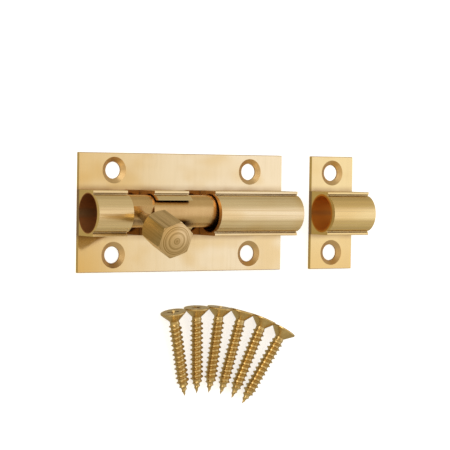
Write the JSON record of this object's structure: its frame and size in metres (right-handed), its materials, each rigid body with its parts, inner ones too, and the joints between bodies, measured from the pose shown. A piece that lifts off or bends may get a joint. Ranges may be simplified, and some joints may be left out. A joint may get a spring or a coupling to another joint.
{
  "type": "barrel bolt",
  "caption": "Straight surface-mounted barrel bolt: a knobbed rod slides in a slotted barrel on a flat plate, locks by turning into side notches, and enters a matching keep.",
  "frame": {"origin": "centre of the bolt plate's back mounting face", "axes": "+X along the throw towards the keep, +Y across the plate, +Z out of the mounting face"},
  "size_m": [0.0697, 0.0549, 0.0232],
  "materials": {
    "extruded_brass": "extruded brass, lightly brushed along its length, lacquer-free",
    "keep_brass": "extruded brass, lightly brushed along its length",
    "rod_brass": "polished drawn bar",
    "knob_brass": "turned and brushed along its axis",
    "spring_bronze": "satin spring strip",
    "screw_brass": "bright, rolled thread"
  },
  "bodies": {
    "case": {"barrel_body": "extruded_brass", "keep": "keep_brass", "body_screws": "screw_brass", "keep_screws": "screw_brass"},
    "ring": {"friction_ring": "spring_bronze"},
    "bolt": {"bolt_rod": "rod_brass", "knob": "knob_brass"}
  },
  "joints": [
    {"name": "bolt_throw", "type": "slide", "parent": "case", "child": "ring", "axis": [1, 0, 0], "range_m": [-0.0019, 0.0165]},
    {"name": "bolt_turn", "type": "hinge", "parent": "ring", "child": "bolt", "pos_m": [0, 0.00042, 0.0052], "axis": [1, 0, 0], "range_deg": [-108, 72]}
  ]
}
